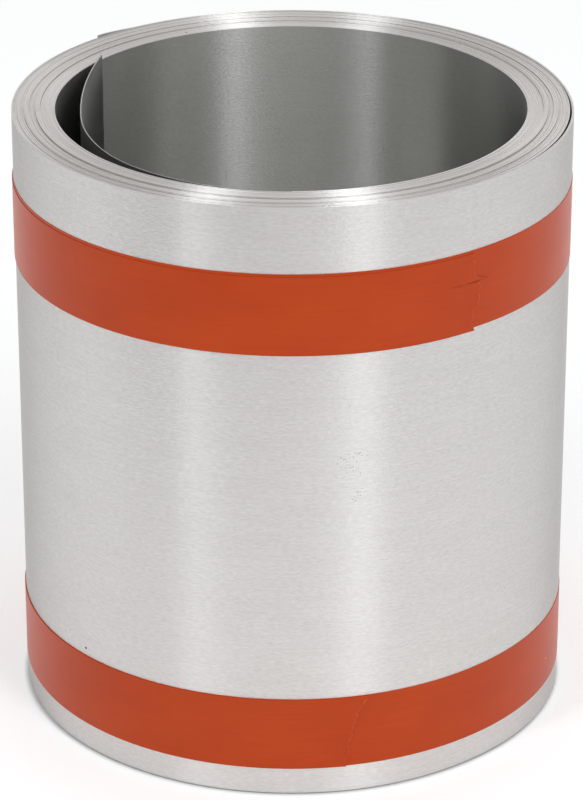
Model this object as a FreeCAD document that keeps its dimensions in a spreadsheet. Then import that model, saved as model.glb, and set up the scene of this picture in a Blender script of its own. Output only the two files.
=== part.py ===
import FreeCAD, Part
import os

import Sketcher

# Aluminium valley flashing, 6 in wide, wound into a 50 ft roll that stands on its end.
# The roll stands on z = 0 with its axis on Z. Angles run anticlockwise seen from above,
# from +X; the front of the roll is at 270 degrees.
#
# Three pieces, each a PartDesign body with its own label and file:
#   aluminum_coil     the wound sheet: wall with its bore, stepped ends, loose inner tail
#   upper_tape_band   ring of tape near the top, with a torn second layer
#   lower_tape_band   ring of tape near the bottom, with a short second layer

os.makedirs("parts", exist_ok=True)
doc = FreeCAD.newDocument("ValleyFlashingRoll")

INCH = 25.4

sheet = doc.addObject("Spreadsheet::Sheet", "Sizes")
next_row = [1]


def size(name, value):
    """Add one named size to the spreadsheet: a number, or a formula of other sizes."""
    row = next_row[0]
    next_row[0] += 1
    sheet.set("A%d" % row, name)
    sheet.set("B%d" % row, value if isinstance(value, str) else str(value))
    sheet.setAlias("B%d" % row, name)


# The wound sheet
size("sheet_width", 6 * INCH)
size("sheet_gauge", 0.244)
size("turn_pitch", 0.279)
size("turn_count", 39)
size("bore_radius", 56.65)
size("outer_radius", "=bore_radius + turn_count * turn_pitch")

# The turns have slid along the axis in groups: the turn each group starts at, counted from
# the bore, and how far the group sits above the lowest one
GROUPS = [
    ("bore", 0, 0.30),
    ("inner", 9, 0.70),
    ("middle", 18, 0.35),
    ("outer", 27, 0.60),
    ("skin", 33, 0.0),
]
for group, first_turn, lift in GROUPS:
    size("%s_group_start" % group, first_turn)
    size("%s_group_lift" % group, lift)
    size("%s_group_radius" % group, "=bore_radius + %s_group_start * turn_pitch" % group)

# Loose inner tail: two arcs seen from above, the first leaving the bore wall
size("tail_root_angle", 273.9)
size("tail_root_depth", 0.35)
size("tail_first_radius", 50.86)
size("tail_bend_angle", 184.5)
size("tail_second_radius", 128.6)
size("tail_tip_angle", 166.4)
size("tail_rise_start", 35.0)
size("tail_rise_end", 30.2)
size("tail_rise", 2.0)
size("tail_end_lean", 4.6)
size("trim_margin", 5.0)

# Outer end of the sheet: past it the last turn is missing, so the surface steps in by one
# gauge and tapers back out to the full radius further round
size("outer_end_angle", 136.2)
size("outer_taper_angle", 20)

# Tape: two bands, each a ring and part of a second layer that sits a little lower and ends
# in a torn edge. The tear is given by how far its top, notch and bottom lie back from its
# tip, and by the heights of the tip and the notch above the layer's bottom.
size("tape_gauge", 0.15)
size("upper_tape_width", 19.9)
size("upper_tape_margin", 16.2)
size("upper_tape_bottom", "=sheet_width - upper_tape_margin - upper_tape_width")
size("upper_layer_drop", 0.9)
size("upper_layer_angle", 150)
size("upper_tear_angle", 312.1)
size("upper_tear_top", 4.4)
size("upper_tear_tip_height", 12.8)
size("upper_tear_notch", 8.8)
size("upper_tear_notch_height", 12.2)
size("upper_tear_bottom", 4.0)
size("lower_tape_width", 19.1)
size("lower_tape_bottom", 7.1)
size("lower_layer_drop", 0.3)
size("lower_layer_angle", 100)
size("lower_tear_angle", 286.4)
size("lower_tear_top", 1.0)
size("lower_tear_tip_height", 15.5)
size("lower_tear_notch", 3.4)
size("lower_tear_notch_height", 9.0)
size("lower_tear_bottom", 6.1)

# Worked-out centres and corners of the tail, seen from above. The first arc's centre lies on
# the root line, so that the arc starts inside the wall and comes out of it at a slant.
size("tail_offset", "=bore_radius + tail_root_depth - tail_first_radius")
size("tail_first_x", "=tail_offset * cos(tail_root_angle)")
size("tail_first_y", "=tail_offset * sin(tail_root_angle)")
size("tail_radius_change", "=tail_first_radius - tail_second_radius")
size("tail_second_x", "=tail_first_x + tail_radius_change * cos(tail_bend_angle)")
size("tail_second_y", "=tail_first_y + tail_radius_change * sin(tail_bend_angle)")
for side, inset in (("outer", "0"), ("inner", "sheet_gauge")):
    for axis, turn in (("x", "cos"), ("y", "sin")):
        size("tail_root_%s_%s" % (side, axis),
             "=tail_first_%s + (tail_first_radius - %s) * %s(tail_root_angle)" % (axis, inset, turn))
        size("tail_bend_%s_%s" % (side, axis),
             "=tail_first_%s + (tail_first_radius - %s) * %s(tail_bend_angle)" % (axis, inset, turn))
        size("tail_tip_%s_%s" % (side, axis),
             "=tail_second_%s + (tail_second_radius - %s) * %s(tail_tip_angle)" % (axis, inset, turn))
size("tail_first_inner_radius", "=tail_first_radius - sheet_gauge")
size("tail_second_inner_radius", "=tail_second_radius - sheet_gauge")

# Worked-out corners of the step at the outer end, seen from above. The stepped-in surface is
# an arc that starts one gauge inside the outer surface and ends one gauge outside it.
size("outer_taper_end_angle", "=outer_end_angle + 2 * outer_taper_angle")
size("outer_cut_radius", "=outer_radius + trim_margin")
for axis, turn in (("x", "cos"), ("y", "sin")):
    size("outer_step_%s" % axis, "=(outer_radius - sheet_gauge) * %s(outer_end_angle)" % turn)
    size("outer_taper_%s" % axis, "=(outer_radius + sheet_gauge) * %s(outer_taper_end_angle)" % turn)
    size("outer_cut_end_%s" % axis, "=outer_cut_radius * %s(outer_taper_end_angle)" % turn)
    size("outer_cut_start_%s" % axis, "=outer_cut_radius * %s(outer_end_angle)" % turn)
doc.recompute()


def value(name):
    return float(sheet.get(name))


def number(expression):
    """The present value of a size name, or of a sum or difference of size names."""
    total = 0.0
    sign = 1.0
    for word in expression.replace("-", " - ").replace("+", " + ").split():
        if word == "-":
            sign = -1.0
        elif word == "+":
            sign = 1.0
        else:
            total += sign * (float(word) if word[0].isdigit() else value(word))
            sign = 1.0
    return total


def bound(expression):
    """The same expression as a formula that reads the spreadsheet."""
    words = expression.replace("-", " - ").replace("+", " + ").split()
    return " ".join(w if w in "+-" or w[0].isdigit() else "Sizes." + w for w in words)


def origin_plane(body, role):
    return [item for item in body.Origin.OriginFeatures if item.Role == role][0]


def outline_sketch(body, name, plane, loops):
    """Closed outlines on one of the body's origin planes. Each corner is (x, y), given as
    size names. With a turn, "left" or "right", and a radius after it, the edge to the next
    corner is an arc that turns that way."""
    sketch = body.newObject("Sketcher::SketchObject", name)
    sketch.AttachmentSupport = [(origin_plane(body, plane), "")]
    sketch.MapMode = "FlatFace"
    doc.recompute()
    for corners in loops:
        points = [FreeCAD.Vector(number(corner[0]), number(corner[1]), 0) for corner in corners]
        edges = []
        for i, corner in enumerate(corners):
            end = points[(i + 1) % len(points)]
            if len(corner) == 4:
                edges.append(add_arc(sketch, points[i], end, corner[2], number(corner[3])))
            else:
                edges.append((sketch.addGeometry(Part.LineSegment(points[i], end), False), 1, 2))
        for i, (edge, first, last) in enumerate(edges):
            following, next_first, _ = edges[(i + 1) % len(edges)]
            sketch.addConstraint(Sketcher.Constraint("Coincident", edge, last, following, next_first))
        for corner, (edge, first, last) in zip(corners, edges):
            set_size(sketch, ("DistanceX", -1, 1, edge, first), corner[0])
            set_size(sketch, ("DistanceY", -1, 1, edge, first), corner[1])
            if len(corner) == 4:
                set_size(sketch, ("Radius", edge), corner[3])
    return sketch


def set_size(sketch, rule, expression):
    """Constrain part of a sketch to sizes in the spreadsheet."""
    place = sketch.addConstraint(Sketcher.Constraint(*rule, number(expression)))
    sketch.setExpression("Constraints[%d]" % place, bound(expression))


def add_arc(sketch, start, end, turn, radius):
    """An arc from start to end. Returns its number and which of its ends is which."""
    chord = end - start
    to_centre = FreeCAD.Vector(-chord.y, chord.x, 0)
    if turn == "right":
        to_centre = -to_centre
    to_centre.normalize()
    height = (radius ** 2 - (chord.Length / 2) ** 2) ** 0.5
    circle = Part.Circle((start + end) * 0.5 + to_centre * height, FreeCAD.Vector(0, 0, 1), radius)
    a = circle.parameter(start)
    b = circle.parameter(end)
    if turn == "left":
        return sketch.addGeometry(Part.ArcOfCircle(circle, a, b), False), 1, 2
    return sketch.addGeometry(Part.ArcOfCircle(circle, b, a), False), 2, 1


def pad(body, name, sketch, height):
    feature = body.newObject("PartDesign::Pad", name)
    feature.Profile = sketch
    feature.setExpression("Length", bound(height))
    doc.recompute()
    return feature


def cut_through(body, name, sketch):
    """Pocket both ways through everything, and make sure that it removed some."""
    before = body.Shape.Volume
    feature = body.newObject("PartDesign::Pocket", name)
    feature.Profile = sketch
    feature.Type = 1
    feature.Midplane = True
    doc.recompute()
    if body.Shape.Volume >= before:
        raise RuntimeError("%s cut nothing" % name)
    return feature


def revolve(body, name, sketch):
    feature = body.newObject("PartDesign::Revolution", name)
    feature.Profile = sketch
    feature.ReferenceAxis = (sketch, ["V_Axis"])
    feature.Angle = 360.0
    doc.recompute()
    return feature


def new_body(label):
    body = doc.addObject("PartDesign::Body", label)
    body.Label = label
    doc.recompute()
    return body


# --- aluminum_coil ---------------------------------------------------------------------
coil = new_body("aluminum_coil")

tail_outline = outline_sketch(coil, "TailOutline", "XY_Plane", [[
    ("tail_root_outer_x", "tail_root_outer_y", "right", "tail_first_radius"),
    ("tail_bend_outer_x", "tail_bend_outer_y", "right", "tail_second_radius"),
    ("tail_tip_outer_x", "tail_tip_outer_y"),
    ("tail_tip_inner_x", "tail_tip_inner_y", "left", "tail_second_inner_radius"),
    ("tail_bend_inner_x", "tail_bend_inner_y", "left", "tail_first_inner_radius"),
    ("tail_root_inner_x", "tail_root_inner_y"),
]])
pad(coil, "Tail", tail_outline, "sheet_width + tail_rise")

# Seen from the side the tail climbs out of the bore towards its tip, and its cut end leans
# with it. The sketch keeps the leaning strip and cuts away the frame around it.
tail_frame = outline_sketch(coil, "TailSide", "YZ_Plane", [
    [
        ("0 - outer_radius - trim_margin", "0 - trim_margin"),
        ("outer_radius + trim_margin", "0 - trim_margin"),
        ("outer_radius + trim_margin", "sheet_width + tail_rise + trim_margin"),
        ("0 - outer_radius - trim_margin", "sheet_width + tail_rise + trim_margin"),
    ],
    [
        ("0 - outer_radius", "0"),
        ("0 - tail_rise_start", "0"),
        ("tail_rise_end", "tail_rise"),
        ("tail_rise_end - tail_end_lean", "sheet_width + tail_rise"),
        ("0 - tail_rise_start", "sheet_width"),
        ("0 - outer_radius", "sheet_width"),
    ],
])
cut_through(coil, "TailTrim", tail_frame)

# The wound wall in section: the top steps repeat the bottom ones one sheet width higher
starts = ["%s_group_radius" % group for group, _, _ in GROUPS] + ["outer_radius"]
lifts = ["%s_group_lift" % group for group, _, _ in GROUPS]
bottom_steps = []
top_steps = []
for i, lift in enumerate(lifts):
    bottom_steps += [(starts[i], lift), (starts[i + 1], lift)]
    top_steps += [(starts[i], "sheet_width + " + lift), (starts[i + 1], "sheet_width + " + lift)]
wall_section = outline_sketch(coil, "WallSection", "XZ_Plane", [bottom_steps + top_steps[::-1]])
revolve(coil, "WoundWall", wall_section)

# Step where the outermost turn ends
end_outline = outline_sketch(coil, "OuterEndOutline", "XY_Plane", [[
    ("outer_step_x", "outer_step_y", "left", "outer_radius"),
    ("outer_taper_x", "outer_taper_y"),
    ("outer_cut_end_x", "outer_cut_end_y", "right", "outer_cut_radius"),
    ("outer_cut_start_x", "outer_cut_start_y"),
]])
cut_through(coil, "OuterEnd", end_outline)


# --- tape bands ------------------------------------------------------------------------
def tape_band(label, prefix):
    """A ring of tape with part of a second layer that ends in a torn edge. The tip of the
    tear is made at +X and the whole band is then turned to its place."""
    body = new_body(label)
    ring_bottom = prefix + "_tape_bottom"
    ring_top = ring_bottom + " + " + prefix + "_tape_width"
    layer_bottom = ring_bottom + " - " + prefix + "_layer_drop"
    layer_top = ring_top + " - " + prefix + "_layer_drop"
    tear = prefix + "_tear_"

    layer_section = outline_sketch(body, prefix + "_layer_section", "XZ_Plane", [[
        ("outer_radius", layer_bottom),
        ("outer_radius + tape_gauge + tape_gauge", layer_bottom),
        ("outer_radius + tape_gauge + tape_gauge", layer_top),
        ("outer_radius", layer_top),
    ]])
    layer = revolve(body, prefix + "_layer", layer_section)
    layer.setExpression("Angle", "Sizes.%s_layer_angle" % prefix)
    layer.Reversed = True

    torn_edge = outline_sketch(body, prefix + "_torn_edge", "YZ_Plane", [[
        ("trim_margin", layer_bottom + " - trim_margin"),
        ("trim_margin", layer_top + " + trim_margin"),
        ("0 - " + tear + "top", layer_top + " + trim_margin"),
        ("0 - " + tear + "top", layer_top),
        ("0", layer_bottom + " + " + tear + "tip_height"),
        ("0 - " + tear + "notch", layer_bottom + " + " + tear + "notch_height"),
        ("0 - " + tear + "bottom", layer_bottom),
        ("0 - " + tear + "bottom", layer_bottom + " - trim_margin"),
    ]])
    cut_through(body, prefix + "_tear", torn_edge)

    ring_section = outline_sketch(body, prefix + "_ring_section", "XZ_Plane", [[
        ("outer_radius", ring_bottom),
        ("outer_radius + tape_gauge", ring_bottom),
        ("outer_radius + tape_gauge", ring_top),
        ("outer_radius", ring_top),
    ]])
    revolve(body, prefix + "_ring", ring_section)

    up = FreeCAD.Vector(0, 0, 1)
    body.Placement = FreeCAD.Placement(FreeCAD.Vector(), FreeCAD.Rotation(up, value(tear + "angle")))
    body.setExpression("Placement.Rotation.Angle", "Sizes.%sangle" % tear)
    doc.recompute()
    return body


pieces = [
    coil,
    tape_band("upper_tape_band", "upper"),
    tape_band("lower_tape_band", "lower"),
]

doc.recompute()
for item in doc.Objects:
    if "Invalid" in item.State or "Error" in item.State:
        raise RuntimeError("%s is not sound: %s" % (item.Name, item.State))
for piece in pieces:
    if piece.Shape.isNull() or not piece.Shape.isValid() or len(piece.Shape.Solids) != 1:
        raise RuntimeError("%s is not one sound solid" % piece.Label)
    piece.Shape.exportStep("parts/%s.step" % piece.Label)
    print(piece.Label, round(piece.Shape.Volume, 1), piece.Shape.BoundBox)
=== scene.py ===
import math
import random

import bpy
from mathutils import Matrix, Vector


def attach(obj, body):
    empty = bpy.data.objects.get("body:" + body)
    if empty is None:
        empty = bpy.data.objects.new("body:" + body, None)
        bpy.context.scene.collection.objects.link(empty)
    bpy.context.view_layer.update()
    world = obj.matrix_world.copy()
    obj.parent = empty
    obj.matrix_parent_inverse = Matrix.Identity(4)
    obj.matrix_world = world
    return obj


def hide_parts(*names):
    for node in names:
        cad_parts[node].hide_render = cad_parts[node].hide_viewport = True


# Aluminium flashing wound into a roll that stands on its end, with two bands of tape.
# Metres, z up, the roll's axis on z. Angles run anticlockwise seen from above, from +X,
# and the front of the roll is at 270 degrees.

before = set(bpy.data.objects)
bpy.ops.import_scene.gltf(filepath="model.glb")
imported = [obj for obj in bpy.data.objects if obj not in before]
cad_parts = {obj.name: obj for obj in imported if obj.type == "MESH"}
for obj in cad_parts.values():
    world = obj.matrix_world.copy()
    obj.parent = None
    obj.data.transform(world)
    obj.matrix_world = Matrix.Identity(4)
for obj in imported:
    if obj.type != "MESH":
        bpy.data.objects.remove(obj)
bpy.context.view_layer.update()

MM = 0.001
TURN = 2 * math.pi

# The sheet and how it is wound
SHEET_WIDTH = 151.6 * MM
SHEET_GAUGE = 0.244 * MM
BORE_RADIUS = 56.65 * MM
OUTSIDE_RADIUS = 67.53 * MM
TIP_ANGLE = math.radians(147.3)
ROOT_ANGLE = math.radians(273.9)
TURNS = 39
END_ANGLE = math.radians(136.2) + TURNS * TURN
TURN_PITCH = (OUTSIDE_RADIUS - SHEET_GAUGE - BORE_RADIUS) / ((END_ANGLE - ROOT_ANGLE) / TURN)
STEPS_PER_TURN = 160

# Loose inner tail: the centres and radii of its two arcs seen from above
TAIL_FIRST_RADIUS = 50.74 * MM
TAIL_FIRST_OFFSET = 6.14 * MM
TAIL_BEND_ANGLE = math.radians(184.55)
TAIL_SECOND_RADIUS = 128.5 * MM
TAIL_RISE = 2.1 * MM
TAIL_RISE_FROM = -35.0 * MM
TAIL_RISE_TO = 30.2 * MM

# How far the turns have slid along the axis: the turn where each group starts, counted from
# the bore, and its lift above the lowest group
GROUP_LIFTS = [
    (0.0, 0.12), (8.7, 0.04), (13.4, 0.38), (17.4, 0.0), (22.9, 0.24),
    (27.1, 0.0), (30.6, 0.12), (33.6, 0.0), (36.7, 0.2),
]
GROUP_BLEND = 0.35
TURN_SCATTER = 0.11 * MM
SCATTER_SEED = 11
SCATTERED_TURNS = 42

# The turns lean a little, higher at the back, the outer ones more than the inner ones
LEAN = 0.35 * MM
LEAN_OF_INNER = 0.25

# Loose outer turns at the right, and the outer end at the back left
LOOSE_FROM_TURN = 36.3
LOOSE_GAP = 0.6 * MM
LOOSE_MIDDLE = math.radians(-18)
LOOSE_REACH = math.radians(36)
LOOSE_BLEND = 0.25
END_LIFT = 0.5 * MM
END_SPRING = 0.18 * MM
END_REACH = math.radians(11)

# The slit edges are rounded in two steps, each a share of the crown. The tail's are flatter.
EDGE_CROWN = 0.052 * MM
CROWN_STEPS = [(SHEET_GAUGE * 1.3, 1.0), (SHEET_GAUGE * 0.7, 0.2)]
TAIL_CROWN = 0.1

# Tape. A tear is a list of (fraction of the width from the lower edge, how far the torn edge
# lies back from its tip in mm).
TAPE_GAUGE = 0.14 * MM
LAYER_HEIGHT = 1.15
TAPE_STEPS_PER_TURN = 240
TAPE_ROWS = 16
TAPE_CLIMB = math.radians(3)
TAPE_SINK = math.radians(40)
STEP_BRIDGE = math.radians(6)
TEAR_ZONE = 14 * MM
TEAR_CURL = 0.13 * MM
TEAR_CURL_REACH = 2.5 * MM
UPPER_TAPE_BOTTOM = 116.3 * MM
UPPER_TAPE_WIDTH = 19.45 * MM
UPPER_TAPE_DROP = 0.7 * MM
UPPER_TAPE_TIP = math.radians(312.1) + TURN
UPPER_TAPE_START = math.radians(150)
UPPER_TEAR = [
    (0.0, 4.0), (0.05, 4.3), (0.12, 4.9), (0.2, 4.3), (0.29, 4.7), (0.33, 3.1), (0.4, 2.4),
    (0.48, 2.9), (0.55, 2.2), (0.6, 2.8), (0.618, 2.5), (0.628, 8.8), (0.635, 0.0), (0.66, 1.9),
    (0.7, 3.7), (0.77, 4.4), (0.84, 3.7), (0.92, 4.5), (1.0, 4.4),
]
LOWER_TAPE_BOTTOM = 7.25 * MM
LOWER_TAPE_WIDTH = 18.75 * MM
LOWER_TAPE_DROP = 0.1 * MM
LOWER_TAPE_TIP = math.radians(286.4) + TURN
LOWER_TAPE_START = math.radians(170)
LOWER_TEAR = [
    (0.0, 6.1), (0.09, 6.4), (0.2, 5.3), (0.31, 5.6), (0.45, 4.6), (0.6, 4.4), (0.69, 3.3),
    (0.78, 3.5), (0.84, 2.1), (0.9, 1.7), (0.96, 0.8), (1.0, 0.0),
]


def smooth(value):
    value = min(1.0, max(0.0, value))
    return value * value * (3 - 2 * value)


def unit(angle):
    return Vector((math.cos(angle), math.sin(angle)))


TAIL_FIRST_CENTRE = TAIL_FIRST_OFFSET * unit(ROOT_ANGLE)
TAIL_SECOND_CENTRE = (TAIL_FIRST_CENTRE
                      + (TAIL_FIRST_RADIUS - TAIL_SECOND_RADIUS) * unit(TAIL_BEND_ANGLE))
TAIL_BEND_POINT = TAIL_FIRST_CENTRE + TAIL_FIRST_RADIUS * unit(TAIL_BEND_ANGLE)
TAIL_BEND_SEEN = math.atan2(TAIL_BEND_POINT.y, TAIL_BEND_POINT.x) % TURN

dice = random.Random(SCATTER_SEED)
turn_scatter = [dice.uniform(-1, 1) * TURN_SCATTER for _ in range(SCATTERED_TURNS)]


def tail_radius(angle):
    """How far the tail is from the axis, seen from above."""
    first = angle > TAIL_BEND_SEEN
    centre = TAIL_FIRST_CENTRE if first else TAIL_SECOND_CENTRE
    radius = TAIL_FIRST_RADIUS if first else TAIL_SECOND_RADIUS
    along = centre.dot(unit(angle))
    return along + math.sqrt(radius ** 2 - centre.length_squared + along ** 2)


def near_angle(angle, middle, reach):
    """1 at the middle angle, falling to 0 at the reach either side of it."""
    off = (angle - middle + math.pi) % TURN - math.pi
    return smooth(1 - abs(off) / reach)


def wound_radius(angle):
    """Middle of the sheet at a winding angle, which counts up through all the turns."""
    turns = (angle - ROOT_ANGLE) / TURN
    radius = BORE_RADIUS + SHEET_GAUGE / 2 + TURN_PITCH * turns
    if turns < 0:
        return min(radius, tail_radius(angle))
    loose = smooth((turns - LOOSE_FROM_TURN) / LOOSE_BLEND)
    radius += loose * LOOSE_GAP * near_angle(angle, LOOSE_MIDDLE, LOOSE_REACH)
    radius += END_SPRING * smooth(1 - (END_ANGLE - angle) / END_REACH)
    return radius


def group_lift(turns):
    lift = GROUP_LIFTS[0][1]
    for start, next_lift in GROUP_LIFTS[1:]:
        lift += (next_lift - lift) * smooth((turns - start) / GROUP_BLEND + 0.5)
    return lift * MM


def sheet_lift(angle, radius):
    """Height of the sheet's lower edge at a winding angle."""
    turns = (angle - ROOT_ANGLE) / TURN
    if turns < 0:
        across = radius * math.sin(angle)
        rise = (across - TAIL_RISE_FROM) / (TAIL_RISE_TO - TAIL_RISE_FROM)
        return EDGE_CROWN + group_lift(0) * smooth(1 + turns * 4) + TAIL_RISE * min(1, max(0, rise))
    whole = int(turns)
    part = smooth(turns - whole)
    scatter = turn_scatter[whole] * (1 - part) + turn_scatter[whole + 1] * part
    outward = LEAN_OF_INNER + (1 - LEAN_OF_INNER) * whole / TURNS
    lean = LEAN * outward * (1 + math.sin(angle))
    lift = EDGE_CROWN + group_lift(turns) + abs(scatter) + lean
    return lift + END_LIFT * smooth(1 - (END_ANGLE - angle) / END_REACH)


def deselect_all():
    if bpy.context.object and bpy.context.object.mode != "OBJECT":
        bpy.ops.object.mode_set(mode="OBJECT")
    bpy.ops.object.select_all(action="DESELECT")


def apply_modifier(piece, kind, **settings):
    modifier = piece.modifiers.new(kind.title(), kind)
    for name, value in settings.items():
        setattr(modifier, name, value)
    bpy.context.view_layer.objects.active = piece
    bpy.ops.object.modifier_apply(modifier=modifier.name)


def finish_piece(piece, material, node, angle=50):
    deselect_all()
    piece.select_set(True)
    bpy.context.view_layer.objects.active = piece
    bpy.ops.object.shade_smooth_by_angle(angle=math.radians(angle))
    piece.data.materials.clear()
    piece.data.materials.append(material)
    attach(piece, "root")
    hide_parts(node)


# --- the wound sheet -------------------------------------------------------------------
def wound_sheet():
    """The flat sheet, one face wide, rolled up, then given its gauge and its slit edges."""
    deselect_all()
    stations = round((END_ANGLE - TIP_ANGLE) / TURN * STEPS_PER_TURN)
    bpy.ops.mesh.primitive_grid_add(x_subdivisions=stations, y_subdivisions=1, size=1, calc_uvs=True)
    coil = bpy.context.object
    coil.name = "wound_sheet"
    coil.data.name = "wound_sheet"
    mesh = coil.data
    along = {}
    length = 0.0
    last = None
    for i in range(stations + 1):
        angle = TIP_ANGLE + (END_ANGLE - TIP_ANGLE) * i / stations
        radius = wound_radius(angle)
        place = radius * unit(angle)
        if last is not None:
            length += (place - last).length
        last = place
        along[i] = (place, sheet_lift(angle, radius), length)
    for layer in mesh.uv_layers:
        for corner in layer.data:
            station = round(corner.uv[0] * stations)
            corner.uv = (along[station][2], corner.uv[1] * SHEET_WIDTH)
    for vertex in mesh.vertices:
        station = round((vertex.co.x + 0.5) * stations)
        place, lift, _ = along[station]
        height = lift + (vertex.co.y + 0.5) * SHEET_WIDTH
        vertex.co = (place.x, place.y, height)
    mesh.update()
    apply_modifier(coil, "SOLIDIFY", thickness=SHEET_GAUGE, offset=0, use_rim=True)
    crown_slit_edges(coil)
    return coil


def crown_slit_edges(coil):
    """Round both slit edges: split across the gauge and push out, then split and push again."""
    for longest, share in CROWN_STEPS:
        mesh = coil.data
        corners = len(mesh.vertices)
        deselect_all()
        coil.select_set(True)
        bpy.context.view_layer.objects.active = coil
        bpy.ops.object.mode_set(mode="EDIT")
        bpy.ops.mesh.select_mode(type="EDGE")
        bpy.ops.mesh.select_all(action="DESELECT")
        bpy.ops.object.mode_set(mode="OBJECT")
        for edge in mesh.edges:
            a, b = (mesh.vertices[i].co for i in edge.vertices)
            edge.select = (a - b).length < longest
        bpy.ops.object.mode_set(mode="EDIT")
        bpy.ops.mesh.subdivide(number_cuts=1)
        bpy.ops.object.mode_set(mode="OBJECT")
        for vertex in mesh.vertices[corners:]:
            on_tail = vertex.co.xy.length < BORE_RADIUS - SHEET_GAUGE
            rise = EDGE_CROWN * share * (TAIL_CROWN if on_tail else 1)
            vertex.co.z += rise if vertex.co.z > SHEET_WIDTH / 2 else -rise
        mesh.update()


# --- tape ------------------------------------------------------------------------------
def wall_radius(angle):
    """Outer surface of the wound sheet at an angle seen from above. Tape bridges the step
    past the outer end."""
    past_end = (angle - END_ANGLE) % TURN
    outermost = END_ANGLE + past_end - (TURN if past_end > 0 else 0)
    bridge = (TURN_PITCH + END_SPRING) * smooth(1 - past_end / STEP_BRIDGE)
    return wound_radius(outermost) + SHEET_GAUGE / 2 + bridge


def tear_back(tear, fraction):
    """How far the torn edge lies back from its tip at a fraction of the tape's width."""
    for (low, low_back), (high, high_back) in zip(tear, tear[1:]):
        if fraction <= high:
            return (low_back + (high_back - low_back) * (fraction - low) / (high - low)) * MM
    return tear[-1][1] * MM


def tape_strip(name, bottom, width, drop, tip, under_start, tear):
    """One strip of tape: a full turn, then a second layer over it that ends in the tear."""
    deselect_all()
    rows = sorted({i / TAPE_ROWS for i in range(TAPE_ROWS + 1)} | {fraction for fraction, _ in tear})
    columns = round((tip - under_start) / TURN * TAPE_STEPS_PER_TURN)
    bpy.ops.mesh.primitive_grid_add(x_subdivisions=columns, y_subdivisions=len(rows) - 1, size=1,
                                    calc_uvs=True)
    tape = bpy.context.object
    tape.name = name
    tape.data.name = name
    climb = under_start + TURN
    for layer in tape.data.uv_layers:
        for corner in layer.data:
            fraction = rows[round(corner.uv[1] * (len(rows) - 1))]
            corner.uv = ((corner.uv[0] - 1) * (tip - under_start) * OUTSIDE_RADIUS, fraction * width)
    for vertex in tape.data.vertices:
        fraction = rows[round((vertex.co.y + 0.5) * (len(rows) - 1))]
        angle = under_start + (tip - under_start) * (vertex.co.x + 0.5)
        from_tip = (tip - angle) * OUTSIDE_RADIUS
        back = tear_back(tear, fraction)
        if from_tip < TEAR_ZONE:
            from_tip = back + from_tip * (TEAR_ZONE - back) / TEAR_ZONE
        angle = tip - from_tip / OUTSIDE_RADIUS
        second = smooth((angle - climb) / TAPE_CLIMB + 0.5)
        curl = TEAR_CURL * max(0, 1 - (from_tip - back) / TEAR_CURL_REACH) ** 2
        radius = wall_radius(angle) + TAPE_GAUGE * (0.5 + second * LAYER_HEIGHT) + curl
        sink = drop * smooth((angle - climb) / TAPE_SINK)
        place = radius * unit(angle)
        vertex.co = (place.x, place.y, bottom - sink + fraction * width)
    tape.data.update()
    apply_modifier(tape, "SOLIDIFY", thickness=TAPE_GAUGE, offset=0, use_rim=True)
    return tape


# --- materials -------------------------------------------------------------------------
# Lengths along the strip: the turn that faces the bore, and the loose tail
INSIDE_TURN = 0.45
TAIL_LENGTH = 0.116
STRETCHED = 0.6 * MM
SLIT_MARGIN = 0.02 * MM

# Scuffed spots on the outer wall: angle in degrees, height in mm, reach in mm
SCUFFS = [(282.5, 87.8, 5.0), (283.2, 79.7, 2.5)]
SCUFF_SHARE = 0.5

# Colours, the darker and the lighter of each surface's flecks where there are two
OUTSIDE_METAL = (0.690, 0.667, 0.648, 1), (0.785, 0.766, 0.750, 1)
# The inside turn's colours are a darker, greener copy of the outside ones: painted shade and painted
# interreflected tint of the bore.
PAINTED_BORE_SHADE_METAL = (0.630, 0.627, 0.602, 1), (0.695, 0.692, 0.666, 1)
# Slit edges: partly the paler bare cut metal, partly a painted highlight for the rim and the tail's
# bright top edge.
BARE_SLIT_AND_PAINTED_HIGHLIGHT = (0.94, 0.915, 0.89, 1)
# Painted shade in the gap: the tail's outer side, hidden behind the tail, is painted near black.
PAINTED_GAP_SHADE = (0.22, 0.22, 0.21, 1)
PITTED_METAL = (0.36, 0.35, 0.34, 1)
DIRT = (0.12, 0.11, 0.10, 1)
EDGE_ON_METAL = (0.60, 0.60, 0.60, 1)
FILM = (0.54, 0.056, 0.0055, 1), (0.60, 0.068, 0.0075, 1)
FILM_GRAIN = (0.41, 0.037, 0.004, 1)
STRETCHED_FILM = (0.80, 0.26, 0.12, 1)
DUST = (0.72, 0.30, 0.20, 1)

# Heights of the fine relief
METAL_GRAIN_RELIEF = 0.05 * MM
FILM_WRINKLE_RELIEF = 0.2 * MM
FILM_GRAIN_RELIEF = 0.02 * MM


def new_material(name):
    material = bpy.data.materials.new(name)
    material.use_nodes = True
    nodes = material.node_tree.nodes
    shader = nodes["Principled BSDF"]
    return material, nodes, material.node_tree.links, shader


def sheet_coordinates(nodes, links, scale):
    """The piece's own UV map, which is in metres along and across the strip, scaled up."""
    coordinates = nodes.new("ShaderNodeTexCoord")
    mapping = nodes.new("ShaderNodeMapping")
    mapping.inputs["Scale"].default_value = scale
    links.new(coordinates.outputs["UV"], mapping.inputs["Vector"])
    return mapping.outputs["Vector"]


def noise(nodes, links, scale, detail=2.0, roughness=0.5):
    """Noise on the strip. The scale is in waves per metre along it and across it."""
    texture = nodes.new("ShaderNodeTexNoise")
    texture.inputs["Scale"].default_value = 1.0
    texture.inputs["Detail"].default_value = detail
    texture.inputs["Roughness"].default_value = roughness
    links.new(sheet_coordinates(nodes, links, scale), texture.inputs["Vector"])
    return texture.outputs["Fac"]


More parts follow.
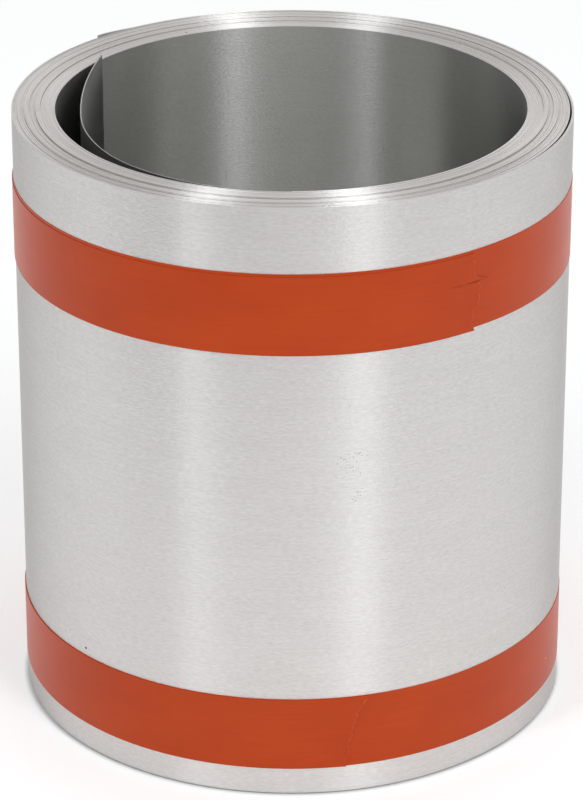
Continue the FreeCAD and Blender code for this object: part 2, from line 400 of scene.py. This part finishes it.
def spread(nodes, links, source, low, high, from_low=0.3, from_high=0.7):
    """A value carried from its usual range to another one."""
    ranger = nodes.new("ShaderNodeMapRange")
    ranger.inputs["From Min"].default_value = from_low
    ranger.inputs["From Max"].default_value = from_high
    ranger.inputs["To Min"].default_value = low
    ranger.inputs["To Max"].default_value = high
    links.new(source, ranger.inputs["Value"])
    return ranger.outputs["Result"]


def blend_colours(nodes, links, factor, first, second):
    mix = nodes.new("ShaderNodeMix")
    mix.data_type = "RGBA"
    for socket, colour in (("A", first), ("B", second)):
        place = [i for i in mix.inputs if i.name == socket and i.type == "RGBA"][0]
        if isinstance(colour, tuple):
            place.default_value = colour
        else:
            links.new(colour, place)
    links.new(factor, mix.inputs[0])
    return [o for o in mix.outputs if o.type == "RGBA"][0]


def arithmetic(nodes, links, operation, first, second):
    node = nodes.new("ShaderNodeMath")
    node.operation = operation
    for place, value in ((0, first), (1, second)):
        if isinstance(value, (int, float)):
            node.inputs[place].default_value = value
        else:
            links.new(value, node.inputs[place])
    return node.outputs[0]


def bump(nodes, links, height, strength, distance, under=None):
    node = nodes.new("ShaderNodeBump")
    node.inputs["Strength"].default_value = strength
    node.inputs["Distance"].default_value = distance
    links.new(height, node.inputs["Height"])
    if under is not None:
        links.new(under, node.inputs["Normal"])
    return node.outputs["Normal"]


def specks(nodes, links, per_metre, size, share):
    """Small round specks: how many cells per metre, their size in a cell, and which share
    of the cells has one."""
    cells = nodes.new("ShaderNodeTexVoronoi")
    cells.inputs["Scale"].default_value = 1.0
    links.new(sheet_coordinates(nodes, links, (per_metre, per_metre, 1)), cells.inputs["Vector"])
    inside = arithmetic(nodes, links, "LESS_THAN", cells.outputs["Distance"], size)
    split = nodes.new("ShaderNodeSeparateColor")
    links.new(cells.outputs["Color"], split.inputs["Color"])
    chosen = arithmetic(nodes, links, "LESS_THAN", split.outputs[0], share)
    return arithmetic(nodes, links, "MULTIPLY", inside, chosen)


def strip_place(nodes, links, axis):
    """Distance in metres along the strip (X) or across it (Y)."""
    split = nodes.new("ShaderNodeSeparateXYZ")
    links.new(sheet_coordinates(nodes, links, (1, 1, 1)), split.inputs["Vector"])
    return split.outputs[axis]


def facing_outward(nodes, links):
    """1 where the surface faces away from the roll's axis."""
    geometry = nodes.new("ShaderNodeNewGeometry")
    flat = nodes.new("ShaderNodeVectorMath")
    flat.operation = "MULTIPLY"
    links.new(geometry.outputs["Position"], flat.inputs[0])
    flat.inputs[1].default_value = (1, 1, 0)
    along = nodes.new("ShaderNodeVectorMath")
    along.operation = "DOT_PRODUCT"
    links.new(flat.outputs["Vector"], along.inputs[0])
    links.new(geometry.outputs["True Normal"], along.inputs[1])
    return arithmetic(nodes, links, "GREATER_THAN", along.outputs["Value"], 0.0)


def distance_from(nodes, links, point):
    """Distance from a point given in the object's own coordinates."""
    coordinates = nodes.new("ShaderNodeTexCoord")
    away = nodes.new("ShaderNodeVectorMath")
    away.operation = "DISTANCE"
    links.new(coordinates.outputs["Object"], away.inputs[0])
    away.inputs[1].default_value = point
    return away.outputs["Value"]


def near_spot(nodes, links, angle, height, reach):
    """1 at a spot on the outer wall, falling to 0 at the reach around it."""
    spot = OUTSIDE_RADIUS * unit(math.radians(angle))
    away = distance_from(nodes, links, (spot.x, spot.y, height * MM))
    return spread(nodes, links, away, 1, 0, reach * MM * 0.3, reach * MM)


def mill_aluminium():
    """Bare rolled sheet: fine flecks and long streaks along the strip, paler slit edges that are partly
    bare cut metal and partly a painted highlight, the inside turn painted darker and greener as the
    bore's shade, the tail's outer side painted near black as the shade in its gap, a few dark specks
    and a scuffed patch."""
    material, nodes, links, shader = new_material("mill_aluminium")
    shader.inputs["Metallic"].default_value = 1.0
    shader.inputs["Specular Tint"].default_value = EDGE_ON_METAL
    shader.inputs["Anisotropic"].default_value = 1.0
    shader.inputs["Anisotropic Rotation"].default_value = 0.25
    flecks = noise(nodes, links, (600, 2000, 1), detail=2, roughness=0.6)
    streaks = noise(nodes, links, (60, 900, 1), detail=2)
    clouds = noise(nodes, links, (70, 110, 1), detail=4, roughness=0.6)
    tone = arithmetic(nodes, links, "ADD", flecks, spread(nodes, links, streaks, -0.06, 0.06))
    tone = arithmetic(nodes, links, "ADD", tone, spread(nodes, links, clouds, -0.05, 0.05))
    tone = spread(nodes, links, tone, 0, 1)
    outside = blend_colours(nodes, links, tone, *OUTSIDE_METAL)
    # painted bore shade: the turn that faces the bore takes the darker, greener copy of the metal
    inside = blend_colours(nodes, links, tone, *PAINTED_BORE_SHADE_METAL)
    along = strip_place(nodes, links, "X")
    past_bore = spread(nodes, links, along, 0, 1, INSIDE_TURN, 2 * INSIDE_TURN)
    colour = blend_colours(nodes, links, past_bore, inside, outside)
    from_middle = arithmetic(nodes, links, "SUBTRACT", strip_place(nodes, links, "Y"), SHEET_WIDTH / 2)
    from_middle = arithmetic(nodes, links, "ABSOLUTE", from_middle, 0.0)
    slit = arithmetic(nodes, links, "GREATER_THAN", from_middle, SHEET_WIDTH / 2 - SLIT_MARGIN)
    # paler slit edges: bare cut metal and a painted highlight
    colour = blend_colours(nodes, links, slit, colour, BARE_SLIT_AND_PAINTED_HIGHLIGHT)
    # painted gap shade on the outer side of the tail
    outward = facing_outward(nodes, links)
    on_tail = arithmetic(nodes, links, "LESS_THAN", along, TAIL_LENGTH)
    gap_shade = arithmetic(nodes, links, "MULTIPLY", outward, on_tail)
    colour = blend_colours(nodes, links, gap_shade, colour, PAINTED_GAP_SHADE)
    for angle, height, reach in SCUFFS:
        near = near_spot(nodes, links, angle, height, reach)
        share = arithmetic(nodes, links, "MULTIPLY", near, SCUFF_SHARE)
        pits = specks(nodes, links, 2200, 0.28, share)
        colour = blend_colours(nodes, links, pits, colour, PITTED_METAL)
    dirt = specks(nodes, links, 160, 0.06, 0.035)
    colour = blend_colours(nodes, links, dirt, colour, DIRT)
    links.new(colour, shader.inputs["Base Color"])
    grain = noise(nodes, links, (1200, 3000, 1), detail=1)
    roughness = spread(nodes, links, grain, 0.275, 0.345)
    rougher_slit = arithmetic(nodes, links, "MULTIPLY", slit, 0.1)
    roughness = arithmetic(nodes, links, "ADD", roughness, rougher_slit)
    links.new(roughness, shader.inputs["Roughness"])
    links.new(bump(nodes, links, grain, 1.0, METAL_GRAIN_RELIEF), shader.inputs["Normal"])
    return material


def tape_film():
    """Orange-red film with a soft gloss, a faint grain along it, a few pale specks, and pale
    where it stretched at the tear."""
    material, nodes, links, shader = new_material("tape_film")
    shader.inputs["Roughness"].default_value = 0.34
    shader.inputs["Specular IOR Level"].default_value = 0.22
    grain = noise(nodes, links, (45, 900, 1), detail=3, roughness=0.6)
    clouds = noise(nodes, links, (35, 60, 1), detail=3)
    colour = blend_colours(nodes, links, spread(nodes, links, clouds, 0, 1), *FILM)
    colour = blend_colours(nodes, links, spread(nodes, links, grain, 0, 0.17), colour, FILM_GRAIN)
    ragged = noise(nodes, links, (500, 900, 1), detail=2)
    stretched = spread(nodes, links, ragged, -STRETCHED * 0.4, STRETCHED)
    stretched = arithmetic(nodes, links, "ADD", strip_place(nodes, links, "X"), stretched)
    stretched = arithmetic(nodes, links, "GREATER_THAN", stretched, 0.0)
    stretched = arithmetic(nodes, links, "MULTIPLY", stretched, 0.25)
    colour = blend_colours(nodes, links, stretched, colour, STRETCHED_FILM)
    dust = specks(nodes, links, 190, 0.06, 0.05)
    colour = blend_colours(nodes, links, dust, colour, DUST)
    links.new(colour, shader.inputs["Base Color"])
    wrinkles = bump(nodes, links, clouds, 0.2, FILM_WRINKLE_RELIEF)
    normal = bump(nodes, links, grain, 0.25, FILM_GRAIN_RELIEF, wrinkles)
    links.new(normal, shader.inputs["Normal"])
    return material


coil = wound_sheet()
finish_piece(coil, mill_aluminium(), "aluminum_coil")
film = tape_film()
upper = tape_strip("upper_tape", UPPER_TAPE_BOTTOM, UPPER_TAPE_WIDTH, UPPER_TAPE_DROP,
                   UPPER_TAPE_TIP, UPPER_TAPE_START, UPPER_TEAR)
finish_piece(upper, film, "upper_tape_band", angle=35)
lower = tape_strip("lower_tape", LOWER_TAPE_BOTTOM, LOWER_TAPE_WIDTH, LOWER_TAPE_DROP,
                   LOWER_TAPE_TIP, LOWER_TAPE_START, LOWER_TEAR)
finish_piece(lower, film, "lower_tape_band", angle=35)


# --- stage -----------------------------------------------------------------------------
WORLD_HORIZON = 0.30
WORLD_OVERHEAD = 0.28

# Brighter parts of the surroundings: their angle seen from above, how much they add, and how
# tightly they keep to that angle. Backdrop, front, left side.
WORLD_LOBES = [(80, 0.80, 2.5), (290, 0.42, 1.5), (160, 0.04, 2)]

FLOOR_FRONT_EDGE = -0.34
FLOOR_SIZE = 6.0
FLOOR_SHADE = (0.80, 0.80, 0.80, 1)
WHITE = (1.0, 1.0, 1.0, 1)
FLOOR_GLOW = 0.20

# The floor is plain, without its glow, under the turns and this far around them, which paints a darker
# contact shadow ring around the roll's foot over the real shadow
PAINTED_CONTACT_SHADOW_REACH = 1.2 * MM

# Two tall soft lights: name, angle seen from above, width, power
STRIPS = [("left_strip", 226, 0.16, 3.3), ("right_strip", 302.5, 0.28, 4.5)]
STRIP_DISTANCE = 0.95
STRIP_HEIGHT = 1.15
STRIP_TALL = 0.9
STRIP_AIM = 0.08
STRIP_COLOUR = (0.92, 0.965, 1.0)

CAMERA_LENS = 172.7
CAMERA_SENSOR = 36
CAMERA_PLACE = (0, -0.8684, 0.4724)
CAMERA_TILT_DOWN = 24.667


def make_floor():
    deselect_all()
    bpy.ops.mesh.primitive_plane_add(size=FLOOR_SIZE, location=(0, FLOOR_FRONT_EDGE + FLOOR_SIZE / 2, 0))
    floor = bpy.context.object
    floor.name = "floor"
    material, nodes, links, shader = new_material("pale_floor")
    rays = nodes.new("ShaderNodeLightPath")
    seen = rays.outputs["Is Camera Ray"]
    for ray in ("Is Glossy Ray", "Is Transmission Ray"):
        seen = arithmetic(nodes, links, "MAXIMUM", seen, rays.outputs[ray])
    from_axis = distance_from(nodes, links, (0, -FLOOR_FRONT_EDGE - FLOOR_SIZE / 2, 0))
    middle_of_wall = (OUTSIDE_RADIUS + BORE_RADIUS) / 2
    half_wall = (OUTSIDE_RADIUS - BORE_RADIUS) / 2
    from_turns = arithmetic(nodes, links, "SUBTRACT", from_axis, middle_of_wall)
    from_turns = arithmetic(nodes, links, "ABSOLUTE", from_turns, 0.0)
    # painted contact shadow: near the turns the floor drops its white base and glow for seen rays
    clear = spread(nodes, links, from_turns, 0, 1, half_wall, half_wall + PAINTED_CONTACT_SHADOW_REACH)
    seen = arithmetic(nodes, links, "MULTIPLY", seen, clear)
    colour = blend_colours(nodes, links, seen, FLOOR_SHADE, WHITE)
    links.new(colour, shader.inputs["Base Color"])
    glow = arithmetic(nodes, links, "MULTIPLY", seen, FLOOR_GLOW)
    shader.inputs["Emission Color"].default_value = WHITE
    links.new(glow, shader.inputs["Emission Strength"])
    shader.inputs["Roughness"].default_value = 0.9
    shader.inputs["Specular IOR Level"].default_value = 0.1
    floor.data.materials.append(material)


def softbox(name, azimuth, width, power):
    """A tall soft light that faces the roll."""
    light = bpy.data.lights.new(name, "AREA")
    light.shape = "RECTANGLE"
    light.size = width
    light.size_y = STRIP_TALL
    light.energy = power
    light.color = STRIP_COLOUR
    holder = bpy.data.objects.new(name, light)
    spot = (STRIP_DISTANCE * unit(math.radians(azimuth))).to_3d()
    spot.z = STRIP_HEIGHT
    holder.location = spot
    holder.rotation_euler = (Vector((0, 0, STRIP_AIM)) - spot).to_track_quat("-Z", "Y").to_euler()
    bpy.context.collection.objects.link(holder)


def make_world():
    """Soft grey surroundings: a pale backdrop low behind the roll, dimmer overhead and in front.
    Seen directly they are white."""
    world = bpy.data.worlds.new("studio")
    bpy.context.scene.world = world
    world.use_nodes = True
    nodes = world.node_tree.nodes
    links = world.node_tree.links
    background = nodes["Background"]
    coordinates = nodes.new("ShaderNodeTexCoord")
    split = nodes.new("ShaderNodeSeparateXYZ")
    links.new(coordinates.outputs["Generated"], split.inputs["Vector"])
    up = arithmetic(nodes, links, "MAXIMUM", split.outputs["Z"], 0.0)
    level = arithmetic(nodes, links, "MULTIPLY", up, WORLD_OVERHEAD)
    level = arithmetic(nodes, links, "ADD", level, WORLD_HORIZON)
    for azimuth, extra, power in WORLD_LOBES:
        towards = unit(math.radians(azimuth))
        across = arithmetic(nodes, links, "MULTIPLY", split.outputs["X"], towards.x)
        along = arithmetic(nodes, links, "MULTIPLY", split.outputs["Y"], towards.y)
        facing = arithmetic(nodes, links, "ADD", across, along)
        facing = arithmetic(nodes, links, "MAXIMUM", facing, 0.0)
        facing = arithmetic(nodes, links, "POWER", facing, power)
        facing = arithmetic(nodes, links, "MULTIPLY", facing, extra)
        level = arithmetic(nodes, links, "ADD", level, facing)
    rays = nodes.new("ShaderNodeLightPath")
    level = arithmetic(nodes, links, "MAXIMUM", level, rays.outputs["Is Camera Ray"])
    links.new(level, background.inputs["Color"])
    background.inputs["Strength"].default_value = 1.0


def make_camera():
    camera = bpy.data.cameras.new("camera")
    camera.lens = CAMERA_LENS
    camera.sensor_width = CAMERA_SENSOR
    holder = bpy.data.objects.new("camera", camera)
    holder.location = CAMERA_PLACE
    holder.rotation_euler = (math.radians(90 - CAMERA_TILT_DOWN), 0, 0)
    bpy.context.collection.objects.link(holder)
    bpy.context.scene.camera = holder


make_floor()
make_world()
for strip_name, strip_angle, strip_width, strip_power in STRIPS:
    softbox(strip_name, strip_angle, strip_width, strip_power)
make_camera()
bpy.context.scene.view_settings.view_transform = "Standard"
